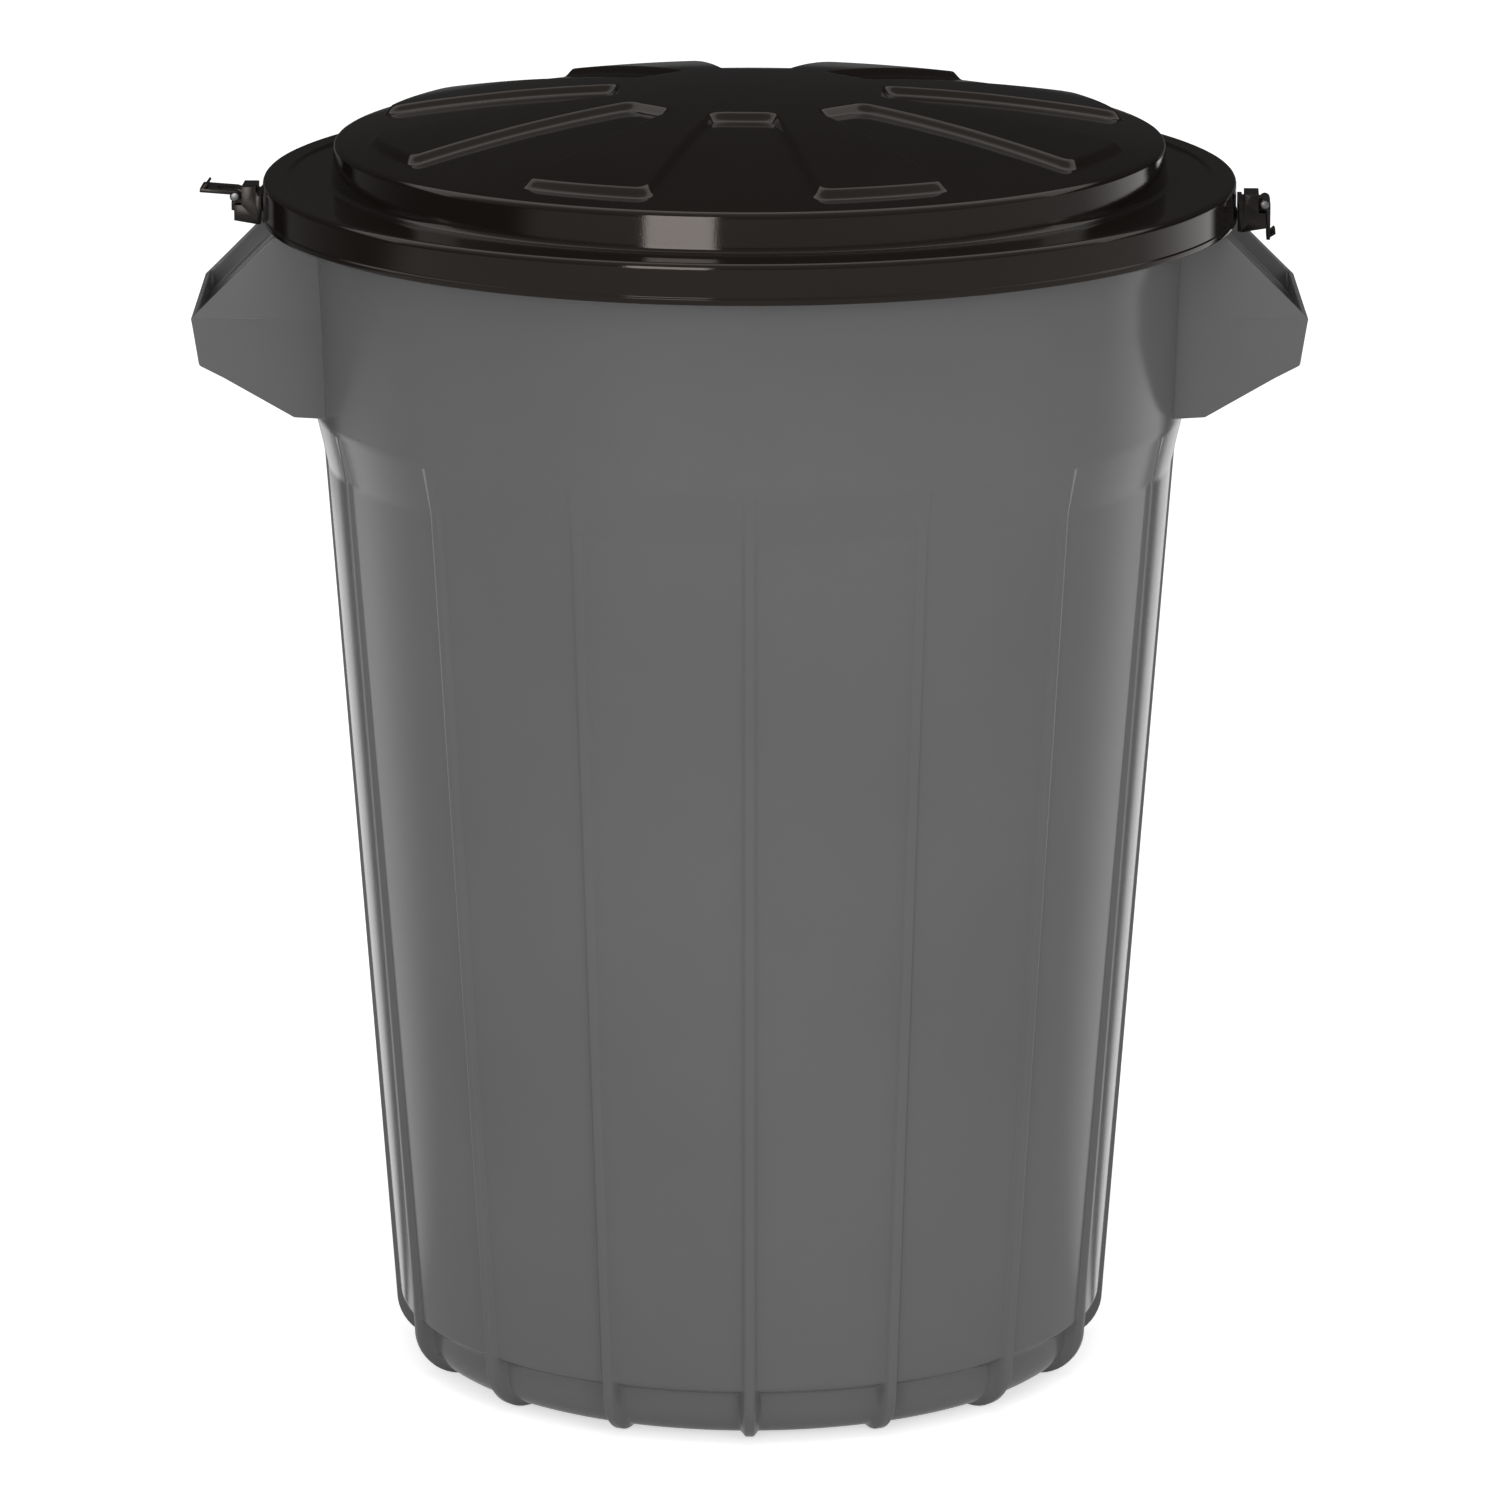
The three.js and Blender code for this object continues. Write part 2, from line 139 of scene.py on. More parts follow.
def new_object(name, vertices, faces):
    """A mesh object from vertices in millimetres."""
    mesh = bpy.data.meshes.new(name)
    mesh.from_pydata([Vector(v) * MM for v in vertices], [], faces)
    mesh.validate()
    obj = bpy.data.objects.new(name, mesh)
    bpy.context.scene.collection.objects.link(obj)
    return obj


def shade(obj, angle):
    """Smooth shading with edges sharper than the angle kept."""
    mesh = obj.data
    mesh.polygons.foreach_set("use_smooth", [True] * len(mesh.polygons))
    mesh.set_sharp_from_angle(angle=math.radians(angle))
    return obj


def face_out(obj):
    """Turns the faces of a closed mesh outwards."""
    bm = bmesh.new()
    bm.from_mesh(obj.data)
    bmesh.ops.recalc_face_normals(bm, faces=bm.faces)
    bm.to_mesh(obj.data)
    bm.free()
    return obj


def apply_modifiers(obj):
    """Replaces the object's mesh with its evaluated one."""
    bpy.context.view_layer.update()
    evaluated = obj.evaluated_get(bpy.context.evaluated_depsgraph_get())
    mesh = bpy.data.meshes.new_from_object(evaluated)
    obj.modifiers.clear()
    old = obj.data
    obj.data = mesh
    bpy.data.meshes.remove(old)
    return obj


def bevel(obj, width, segments):
    """Rounds the object's sharp edges."""
    modifier = obj.modifiers.new("bevel", "BEVEL")
    modifier.width = width * MM
    modifier.segments = segments
    modifier.limit_method = "ANGLE"
    modifier.angle_limit = math.radians(BEVEL_ANGLE)
    modifier.miter_outer = "MITER_ARC"
    return apply_modifiers(obj)


def flatten_flats(obj):
    """Weights the normals by face area, so that large flats between roundings look flat."""
    modifier = obj.modifiers.new("flats", "WEIGHTED_NORMAL")
    modifier.keep_sharp = True
    modifier.weight = 100
    return apply_modifiers(obj)


def cut(obj, cutter, operation="DIFFERENCE"):
    """Cuts the cutter out of the object, or joins it with UNION, and deletes the cutter."""
    modifier = obj.modifiers.new("cut", "BOOLEAN")
    modifier.operation = operation
    modifier.solver = "EXACT"
    modifier.object = cutter
    apply_modifiers(obj)
    bpy.data.objects.remove(cutter)
    return obj


def joined(objects, name):
    """One object from several, each already in place."""
    bm = bmesh.new()
    for obj in objects:
        bm.from_mesh(obj.data)
    mesh = bpy.data.meshes.new(name)
    bm.to_mesh(mesh)
    bm.free()
    for obj in objects:
        bpy.data.objects.remove(obj)
    result = bpy.data.objects.new(name, mesh)
    bpy.context.scene.collection.objects.link(result)
    return result


def turned_copy(obj, degrees, name):
    """A copy turned about the vertical axis."""
    copy = bpy.data.objects.new(name, obj.data.copy())
    bpy.context.scene.collection.objects.link(copy)
    cosine = math.cos(math.radians(degrees))
    sine = math.sin(math.radians(degrees))
    for v in copy.data.vertices:
        x, y = v.co.x, v.co.y
        v.co.x = x * cosine - y * sine
        v.co.y = x * sine + y * cosine
    return copy


def filleted(points, steps=4, support=0.0):
    """A polyline of (r, z, radius) with each corner rounded by its radius; radius 0 keeps it sharp.

    Support adds a point this far past each end of a rounding, which keeps the flats between them flat."""
    result = []
    last = len(points) - 1
    for i, (r, z, radius) in enumerate(points):
        here = np.array([r, z])
        if radius <= 0 or i in (0, last):
            result.append(tuple(here))
            continue
        back = np.array(points[i - 1][:2]) - here
        ahead = np.array(points[i + 1][:2]) - here
        back_length, ahead_length = np.linalg.norm(back), np.linalg.norm(ahead)
        back, ahead = back / back_length, ahead / ahead_length
        half = math.acos(np.clip(back @ ahead, -1, 1)) / 2
        reach = min(radius / math.tan(half), back_length * SIDE_SHARE, ahead_length * SIDE_SHARE)
        start, end = here + back * reach, here + ahead * reach
        if support > 0 and reach + 2 * support < back_length / 2:
            result.append(tuple(here + back * (reach + support)))
        for k in range(steps + 1):
            t = k / steps
            point = start * (1 - t) ** 2 + here * 2 * t * (1 - t) + end * t * t
            result.append(tuple(point))
        if support > 0 and reach + 2 * support < ahead_length / 2:
            result.append(tuple(here + ahead * (reach + support)))
    return result


def ring_mesh(name, rings):
    """A closed mesh from rings of the same count; a ring of one point is a pole."""
    vertices, starts = [], []
    for ring in rings:
        starts.append(len(vertices))
        vertices.extend(ring)
    faces = []
    for a, b, start_a, start_b in zip(rings, rings[1:], starts, starts[1:]):
        count = max(len(a), len(b))
        for i in range(count):
            j = (i + 1) % count
            if len(a) == 1:
                faces.append((start_a, start_b + j, start_b + i))
            elif len(b) == 1:
                faces.append((start_a + i, start_a + j, start_b))
            else:
                faces.append((start_a + i, start_a + j, start_b + j, start_b + i))
    return face_out(new_object(name, vertices, faces))


def smooth(t):
    """An even rise from 0 to 1 that starts and ends level."""
    t = np.clip(t, 0, 1)
    return t * t * (3 - 2 * t)


# ---------------------------------------------------------------- barrel

BARREL_SHARP = 40.0  # edges sharper than this stay sharp

RIB_HALF = 1.8  # a rib is full height this far from its middle
RIB_FLANK = 2.7  # run of its flank, and what each millimetre of its height adds
RIB_DRAFT = 0.24
# The mesh has columns this far from a rib's middle, on both sides of it.
RIB_COLUMNS = (0.0, 1.0, 1.8, 2.3, 2.8, 3.3, 3.7, 4.1, 4.5, 4.9, 5.3, 5.8, 6.6)
COLUMN_STEP = 1.7  # degrees between the wall's columns, away from the ribs
BLEND_TOP = 45.0  # above this height a rib's crest lies straight out from the wall
FOOT_FLAT = FOOT_INNER + RING_SLOPE / 2  # a rib's foot is flat on the ground from here out

CORNER_STEPS = 12
CORNER_Z = FOOT_DROP + CORNER  # middle of the wall's bottom corner
CORNER_R = wall_at(CORNER_Z) - STEP_INSET - CORNER
CREST_CORNER_R = crest_at(RIB_CORNER) - RIB_CORNER

# Rings of the mesh between its corners: radii under and on the floor, heights on the band, and on the
# wall how many outside and which heights inside.
UNDERSIDE_RINGS = (60.0, 120.0)
FLOOR_RINGS = (110.0, 50.0)
BAND_RINGS = (620.0, 655.0)
WALL_RINGS = 22
INNER_WALL_RINGS = (400.0, 200.0)
SHOULDER_EASE = 16.0  # and one this far from the shoulder's corners

SHOULDER_INNER = 1.8  # the shoulder's corners lie this much higher on the inside
SHOULDER_ROUND = 26.0
INNER_SHOULDER_ROUND = 20.0
STEP_ROUND = 4.0
INNER_STEP_ROUND = 2.0
RING_TOP_ROUND = 3.0
RING_FOOT_ROUND = 2.0
FLANGE_ROUND = 2.5
BEAD_ROUND = 2.4
BEAD_EDGE = 1.0

HANDLE_INNER = 236.0  # the wedge is made from here out, and then trimmed in the wall
HANDLE_BEVEL = 1.3
HANDLE_BEVEL_STEPS = 3
RIDGE_SUNK = 0.5
WELD_REACH = 0.001
CORE_BELOW = 20.0
CORE_FACETS = 180
PAST = 5.0  # a cutter runs this far past what it cuts
RECESS_PAST = 2.0  # and this far, measured down, where it runs out of the slope
LEVEL = 0.01  # heights closer than this are the same


def rib_weight(offset, height):
    """A rib's share of its full height, at an offset from its middle."""
    run = RIB_FLANK + RIB_DRAFT * height
    return 1 - smooth((abs(offset) - RIB_HALF) / run)


def rib_angles():
    """One rib under each handle, and the others spread over the front and the back."""
    angles = [0.0, 180.0]
    for middle in (-90, 90):
        angles += [middle + i * RIB_PITCH for i in range(-RIBS_BESIDE, RIBS_BESIDE + 1)]
    return sorted(angle % 360 for angle in angles)


def crest_point(r, z):
    """Where a rib's crest lies over the wall's point."""
    if z > SHOULDER_TOP:
        return r, z
    if z >= BLEND_TOP:
        return max(r, crest_at(z)), z
    if z >= CORNER_Z:
        crest_z = RIB_CORNER + (z - CORNER_Z) * (BLEND_TOP - RIB_CORNER) / (BLEND_TOP - CORNER_Z)
        return crest_at(crest_z), crest_z
    if r >= CORNER_R:
        angle = math.atan2(z - CORNER_Z, r - CORNER_R)
        return CREST_CORNER_R + RIB_CORNER * math.cos(angle), RIB_CORNER * (1 + math.sin(angle))
    if r > FOOT_FLAT:
        return r - (CORNER_R - CREST_CORNER_R), 0.0
    fade = smooth((r - RING_INNER) / (FOOT_FLAT - RING_INNER))
    return r, z * (1 - fade)


def corner_arc(radius, first, last):
    """The bottom corner's arc from one angle to another, without its first point."""
    points = []
    for k in range(1, CORNER_STEPS + 1):
        angle = math.radians(first + (last - first) * k / CORNER_STEPS)
        points.append((CORNER_R + radius * math.cos(angle), CORNER_Z + radius * math.sin(angle)))
    return points


def barrel_profile():
    """Wall's outline from the axis under the floor, up the outside and back down the inside.

    Each point of its parts is (r, z, rounding)."""
    underside = [(r, FLOOR_LIFT, 0) for r in (0, *UNDERSIDE_RINGS)]
    underside += [
        (RING_INNER, FLOOR_LIFT, RING_TOP_ROUND),
        (RING_INNER + RING_SLOPE, FOOT_DROP, RING_FOOT_ROUND),
        (CORNER_R, FOOT_DROP, 0),
    ]
    step_top = STEP_HEIGHT + STEP_RISE
    step = [
        (wall_at(CORNER_Z) - STEP_INSET, CORNER_Z, 0),
        (wall_at(STEP_HEIGHT) - STEP_INSET, STEP_HEIGHT, STEP_ROUND),
        (wall_at(step_top), step_top, STEP_ROUND),
        (wall_at(BLEND_TOP), BLEND_TOP, 0),
    ]
    wall_top = SHOULDER_FOOT - SHOULDER_EASE
    band_foot = SHOULDER_TOP + SHOULDER_EASE
    upper = [
        (wall_at(wall_top), wall_top, 0),
        (wall_at(SHOULDER_FOOT), SHOULDER_FOOT, SHOULDER_ROUND),
        (BAND, SHOULDER_TOP, SHOULDER_ROUND),
        (band_at(band_foot), band_foot, 0),
    ]
    upper += [(band_at(z), z, 0) for z in BAND_RINGS]
    upper += [
        (band_at(FLANGE_UNDER), FLANGE_UNDER, FLANGE_ROUND),
        (BEAD_INNER, FLANGE_UNDER, BEAD_EDGE),
        (BEAD_INNER, BEAD_FOOT, BEAD_EDGE),
        (BEAD_OUTER, BEAD_FOOT, BEAD_EDGE),
        (BEAD_OUTER, BARREL_TOP, BEAD_ROUND),
        (BEAD_INNER, BARREL_TOP, BEAD_ROUND),
        (BEAD_INNER, FLANGE_TOP, BEAD_EDGE),
        (band_at(FLANGE_TOP) - WALL, FLANGE_TOP, FLANGE_ROUND),
        (band_at(BAND_RINGS[-1]) - WALL, BAND_RINGS[-1], 0),
        (BAND - WALL, SHOULDER_TOP + SHOULDER_INNER, INNER_SHOULDER_ROUND),
        (wall_at(SHOULDER_FOOT) - WALL, SHOULDER_FOOT + SHOULDER_INNER, INNER_SHOULDER_ROUND),
    ]
    upper += [(wall_at(z) - WALL, z, 0) for z in INNER_WALL_RINGS]
    upper += [
        (wall_at(step_top) - WALL, step_top + STEP_INNER, INNER_STEP_ROUND),
        (wall_at(STEP_HEIGHT) - STEP_INSET - WALL, STEP_HEIGHT + STEP_INNER, INNER_STEP_ROUND),
        (CORNER_R + CORNER - WALL, CORNER_Z, 0),
    ]
    floor_top = FLOOR_LIFT + WALL
    floor = [
        (CORNER_R, FOOT_DROP + WALL, 0),
        (RING_INNER + RING_SLOPE + WALL / 2, FOOT_DROP + WALL, RING_FOOT_ROUND),
        (RING_INNER + RING_SLOPE / 2, floor_top, RING_TOP_ROUND),
    ]
    floor += [(r, floor_top, 0) for r in (*FLOOR_RINGS, 0)]

    outline = filleted(underside) + corner_arc(CORNER, -90, 0) + filleted(step)[1:]
    outline += [(wall_at(z), z) for z in np.linspace(BLEND_TOP, wall_top, WALL_RINGS)[1:-1]]
    outline += filleted(upper, 6) + corner_arc(CORNER - WALL, 0, -90)
    return outline + filleted(floor)[1:]


def barrel_rings():
    """Rings of the barrel; the ribs stand out of its outside face only."""
    rings, outside = [], True
    middles = [math.radians(angle) for angle in rib_angles()]
    offsets = [-offset for offset in reversed(RIB_COLUMNS[1:])] + list(RIB_COLUMNS)
    for r, z in barrel_profile():
        if z >= BARREL_TOP - LEVEL:
            outside = False
        if r <= 0:
            rings.append([(0.0, 0.0, z)])
            continue
        over = crest_point(r, z) if outside else (r, z)
        depth = math.hypot(over[0] - r, over[1] - z)
        edge = RIB_COLUMNS[-1] / max(r, RING_INNER)
        ring = []
        for middle, following in zip(middles, middles[1:] + [middles[0] + 2 * math.pi]):
            for offset in offsets:
                weight = rib_weight(offset, depth)
                radius = r + (over[0] - r) * weight
                height = z + (over[1] - z) * weight
                angle = middle + edge * offset / RIB_COLUMNS[-1]
                ring.append((radius * math.cos(angle), radius * math.sin(angle), height))
            span = following - middle
            count = round(math.degrees(span) / COLUMN_STEP)
            for a in np.linspace(edge, span - edge, count)[1:-1]:
                ring.append((r * math.cos(middle + a), r * math.sin(middle + a), z))
        rings.append(ring)
    return rings


def prism(name, outline, half_at):
    """An (x, z) outline with its two sides at y = -half_at(z) and half_at(z)."""
    count = len(outline)
    vertices = [(x, -half_at(z), z) for x, z in outline]
    vertices += [(x, half_at(z), z) for x, z in outline]
    faces = [tuple(range(count)), tuple(reversed(range(count, 2 * count)))]
    for i in range(count):
        j = (i + 1) % count
        faces.append((j, i, count + i, count + j))
    return face_out(new_object(name, vertices, faces))


def core(name):
    """Fills the barrel to the middle of its wall, to trim what is rooted in it."""
    bottom, top = HANDLE_ROOT - CORE_BELOW, BEAD_FOOT
    rings = [[(0.0, 0.0, bottom)]]
    for z in (bottom, top):
        radius = band_at(z) - WALL / 2
        angles = np.linspace(0, 2 * math.pi, CORE_FACETS + 1)[:-1]
        rings.append([(radius * math.cos(a), radius * math.sin(a), z) for a in angles])
    rings.append([(0.0, 0.0, top)])
    return ring_mesh(name, rings)


def parting_ridge(side):
    """Low ridge along a cheek of the handle, where its two drafts meet."""
    root = HANDLE_HALF - RIDGE_SUNK
    section = [(root, -RIDGE_HALF), (HANDLE_HALF + RIDGE_RISE, 0), (root, RIDGE_HALF)]
    vertices = [(x, side * y, HANDLE_TIP + z) for x in RIDGE_SPAN for y, z in section]
    faces = [(0, 1, 2), (3, 4, 5), (0, 1, 4, 3), (1, 2, 5, 4), (2, 0, 3, 5)]
    return face_out(new_object("ridge", vertices, faces))


def weld(obj):
    """Merges doubled points and drops the faces left inside."""
    bm = bmesh.new()
    bm.from_mesh(obj.data)
    bmesh.ops.remove_doubles(bm, verts=bm.verts, dist=WELD_REACH * MM)
    seen = {}
    for face in bm.faces:
        seen.setdefault(frozenset(v.index for v in face.verts), []).append(face)
    doubled = [face for faces in seen.values() if len(faces) > 1 for face in faces]
    bmesh.ops.delete(bm, geom=doubled, context="FACES_ONLY")
    bm.to_mesh(obj.data)
    bm.free()
    return face_out(obj)


def handle():
    """Hollow wedge on +X: two drafted cheeks, a web let in below their slope, and a grip open underneath."""
    slope = (HANDLE_TOP - HANDLE_TIP) / (HANDLE_REACH - HANDLE_TOP_REACH)

    def half_at(z):
        rise = HANDLE_TOP - HANDLE_TIP if z > HANDLE_TIP else HANDLE_TIP - HANDLE_ROOT
        return HANDLE_HALF - HANDLE_DRAFT * abs(z - HANDLE_TIP) / rise

    lower = [(HANDLE_INNER, HANDLE_ROOT), HANDLE_FOOT, HANDLE_HEEL, HANDLE_TOE]
    lower += [(HANDLE_REACH, HANDLE_TIP), (HANDLE_INNER, HANDLE_TIP)]
    upper = [(HANDLE_INNER, HANDLE_TIP), (HANDLE_REACH, HANDLE_TIP)]
    upper += [(HANDLE_TOP_REACH, HANDLE_TOP), (HANDLE_INNER, HANDLE_TOP)]
    wedge = joined([prism("lower", lower, half_at), prism("upper", upper, half_at)], "wedge")
    weld(wedge)

    inner = HANDLE_HALF - HANDLE_DRAFT - HANDLE_WALL
    outer_face = HANDLE_REACH - HANDLE_WALL

    def web_top(x):
        return HANDLE_TOP - slope * (x - HANDLE_TOP_REACH) - WEB_DEPTH

    recess_start = HANDLE_TOP_REACH - (WEB_DEPTH + RECESS_PAST) / slope
    recess_top = HANDLE_TOP + PAST
    recess = [(recess_start, web_top(recess_start)), (outer_face, web_top(outer_face))]
    recess += [(outer_face, recess_top), (recess_start, recess_top)]
    cut(wedge, prism("recess", recess, lambda z: inner))

    lean = (HANDLE_REACH - HANDLE_TOE[0]) / (HANDLE_TIP - HANDLE_TOE[1])
    foot = HANDLE_ROOT - PAST
    web_drop = HANDLE_WALL * math.hypot(1, slope)
    top = web_top(outer_face) - web_drop
    ceiling = HANDLE_TOP - HANDLE_WALL
    grip = [(HANDLE_INNER - PAST, foot), (outer_face - lean * (HANDLE_TIP - foot), foot)]
    grip += [(outer_face - lean * (HANDLE_TIP - top), top)]
    grip += [(outer_face - (ceiling - top) / slope, ceiling), (HANDLE_INNER - PAST, ceiling)]
    cut(wedge, prism("grip", grip, lambda z: inner))

    bevel(wedge, HANDLE_BEVEL, HANDLE_BEVEL_STEPS)
    for v in wedge.data.vertices:
        v.co.x = min(v.co.x, HANDLE_REACH * MM)
    for side in (-1, 1):
        cut(wedge, parting_ridge(side), "UNION")
    return cut(wedge, core("core"))


def make_barrel(material):
    shell = ring_mesh("shell", barrel_rings())
    right = handle()
    left = turned_copy(right, 180, "left")
    barrel = joined([shell, right, left], "barrel_body")
    shade(barrel, BARREL_SHARP)
    flatten_flats(barrel)
    barrel.data.materials.append(material)
    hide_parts("barrel")
    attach(barrel, "barrel")
    return barrel


# ---------------------------------------------------------------- lid

LID_SHARP = 50.0
PAD_BEVEL = 4.6  # run of a pad's flank, roundings included
PAD_CORNER = 7.0

# Columns of the mesh, in degrees from a valley's middle, and radii of its rings on the dome: both are
# close together across the pads' flanks.
FLANK_COLUMNS = np.arange(10.3, 15.2, 0.3)
COLUMN_ANGLES = (0, 2.5, 5, 7, 8.5, 9.5, *FLANK_COLUMNS, 16.2, 17.8, 20)
HUB_RINGS = (10, 25, 40, 52, 60, 66, *np.arange(69, 86, 0.8), 88, 92, 98)
PAD_RINGS = (*np.arange(105, 206, 8), 208, 211, 213.5)
EDGE_RINGS = (*np.arange(215, 223.4, 0.7), 225, 228, 231, 233.5)
DOME_RINGS = HUB_RINGS + PAD_RINGS + EDGE_RINGS
INNER_DOME_RINGS = DOME_RINGS[:-3]
INNER_EDGE_RING = 231.5

PLATEAU_WALL = 3.2
GUTTER_SLOPE = 1.5  # run of the gutter's outer flank
LIP_SLOPE = 0.3
RIM_STEPS = 5  # of each rounding round the rim, with the support beside it
RIM_SUPPORT = 0.4


def smooth_min(a, b, radius):
    """The smaller of two values, rounded over where they cross."""
    share = np.clip(0.5 + 0.5 * (b - a) / radius, 0, 1)
    return b * (1 - share) + a * share - radius * share * (1 - share)


def pad_weight(x, y):
    """1 on the pads and hub, 0 in the valleys and outside."""
    r = np.hypot(x, y)
    inside = PAD_RADIUS - r
    lean = math.cos(math.atan(VALLEY_SPREAD))
    for k in range(PADS):
        angle = math.radians(LID_TURN + 360 * k / PADS)
        along = x * math.cos(angle) + y * math.sin(angle)
        across = np.abs(y * math.cos(angle) - x * math.sin(angle))
        flank = (across - VALLEY_HALF - VALLEY_SPREAD * (along - HUB)) * lean
        beyond = -smooth_min(-flank, along - HUB, PAD_CORNER)
        beyond = np.where(along > 0, beyond, HUB)
        inside = smooth_min(inside, beyond, PAD_CORNER)
    return smooth(0.5 + inside / PAD_BEVEL)


def lid_columns():
    """Angles of the mesh's columns, the same on both sides of each valley."""
    sector = 360 / PADS
    half = [*COLUMN_ANGLES, sector / 2]
    offsets = [-angle for angle in reversed(half[1:-1])] + half
    angles = [LID_TURN + k * sector + offset for k in range(PADS) for offset in offsets]
    return np.radians(angles)


def dome_at(r):
    return PLATEAU_TOP + DOME_RISE * (1 - (r / PLATEAU) ** 2)


def make_lid(material):
    angles = lid_columns()

    def top_ring(r, lowered):
        x, y = r * np.cos(angles), r * np.sin(angles)
        z = dome_at(r) + PAD_HEIGHT * pad_weight(x, y) - lowered
        return list(zip(x, y, z))

    def plain_ring(r, z):
        return [(r * math.cos(a), r * math.sin(a), z) for a in angles]

    # From the dome's edge, down the plateau's wall, across to the skirt and back underneath, as
    # (r, z, rounding).
    rim = [
        (DOME_RINGS[-1], dome_at(DOME_RINGS[-1]), 0),
        (PLATEAU, dome_at(PLATEAU), 3.6),
        (PLATEAU + PLATEAU_DRAFT, GUTTER, 3.2),
        (LAND_INNER - GUTTER_SLOPE, GUTTER, 1.5),
        (LAND_INNER, LAND_TOP, 1.2),
        (RIM, LAND_TOP, 3.2),
        (RIM, SKIRT_FOOT + SKIRT_LIP_HEIGHT, 0.7),
        (RIM + SKIRT_LIP, SKIRT_FOOT + SKIRT_LIP_HEIGHT - LIP_SLOPE, 0.5),
        (RIM + SKIRT_LIP, SKIRT_FOOT, 1.0),
        (RIM - LID_WALL, SKIRT_FOOT, 1.0),
        (RIM - LID_WALL, LAND_TOP - LID_WALL, 1.5),
        (LAND_INNER + GUTTER_SLOPE, LAND_TOP - LID_WALL, 1),
        (LAND_INNER, GUTTER - LID_WALL, 1),
        (PLATEAU + PLATEAU_DRAFT - LID_WALL, GUTTER - LID_WALL, 2),
        (PLATEAU - PLATEAU_WALL, dome_at(PLATEAU) - LID_WALL, 2),
        (INNER_EDGE_RING, dome_at(INNER_EDGE_RING) - LID_WALL, 0),
    ]
    top = dome_at(0) + PAD_HEIGHT
    rings = [[(0.0, 0.0, top)]]
    rings += [top_ring(r, 0) for r in DOME_RINGS]
    rings += [plain_ring(r, z) for r, z in filleted(rim, RIM_STEPS, RIM_SUPPORT)[1:]]
    rings += [top_ring(r, LID_WALL) for r in reversed(INNER_DOME_RINGS)]
    rings.append([(0.0, 0.0, top - LID_WALL)])
    lid = shade(ring_mesh("lid_cover", rings), LID_SHARP)
    lid.data.materials.append(material)
    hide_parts("lid")
    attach(lid, "lid")
    return lid


# ---------------------------------------------------------------- clips

CLIP_BEVEL = 0.45
PIN_BEVEL = 0.25
CLIP_BEVEL_STEPS = 2
CLIP_SHARP = 30.0
SAME_POINT = 0.001  # points closer than this are merged
SAME_FLAT = 1.0  # and faces that differ by less than this


def fine_copy(node, name, width):
    """A node's solid with its flat faces merged and its edges rounded."""
    copy = bpy.data.objects.new(name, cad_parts[node].data.copy())
    bpy.context.scene.collection.objects.link(copy)
    copy.data.materials.clear()
    bm = bmesh.new()
    bm.from_mesh(copy.data)
    bmesh.ops.remove_doubles(bm, verts=bm.verts, dist=SAME_POINT * MM)
    bmesh.ops.dissolve_limit(bm, angle_limit=math.radians(SAME_FLAT), verts=bm.verts, edges=bm.edges)
    bm.to_mesh(copy.data)
    bm.free()
    bevel(copy, width, CLIP_BEVEL_STEPS)
    return shade(copy, CLIP_SHARP)


def make_clip(side, plastic, steel):
    pieces = (("housing", "lid", plastic, "clip_plastic", CLIP_BEVEL),
              ("tongue", f"{side}_tongue", plastic, "clip_plastic", CLIP_BEVEL),
              ("pin", "lid", steel, "pin_steel", PIN_BEVEL))
    for kind, body, material, slot, width in pieces:
        node = f"{side}_clip_{kind}"
        piece = fine_copy(node, f"{side}_{kind}", width)
        piece.data.materials.append(material)
        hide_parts(node)
        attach(piece, body)


# ---------------------------------------------------------------- materials

# Noise scales are per metre, and bump heights are in metres.
DRIFT_SCALE = 6.0
DRIFT_BAND = (0.35, 0.65)  # the noise runs from the dark to the light colour between these values
PATCH_SCALE = 28.0
GRAIN_HEIGHT = 0.0003
WAVE_SCALE = 9.0
WAVE_HEIGHT = 0.002
WHITE = (1.0, 1.0, 1.0)
WARM = (1.0, 0.9, 0.84)  # tint of the black plastics' highlights
STEEL = (0.33, 0.33, 0.34)
STEEL_ROUGHNESS = (0.25, 0.5)
STEEL_SCALE = 900.0


class Nodes:
    """Short ways to add and link shader nodes."""

    def __init__(self, tree):
        self.tree = tree
        tree.nodes.clear()

    def add(self, kind, **settings):
        node = self.tree.nodes.new(kind)
        for key, value in settings.items():
            if hasattr(node, key):
                setattr(node, key, value)
            else:
                node.inputs[key.replace("_", " ")].default_value = value
        return node

    def link(self, a, b):
        self.tree.links.new(a, b)


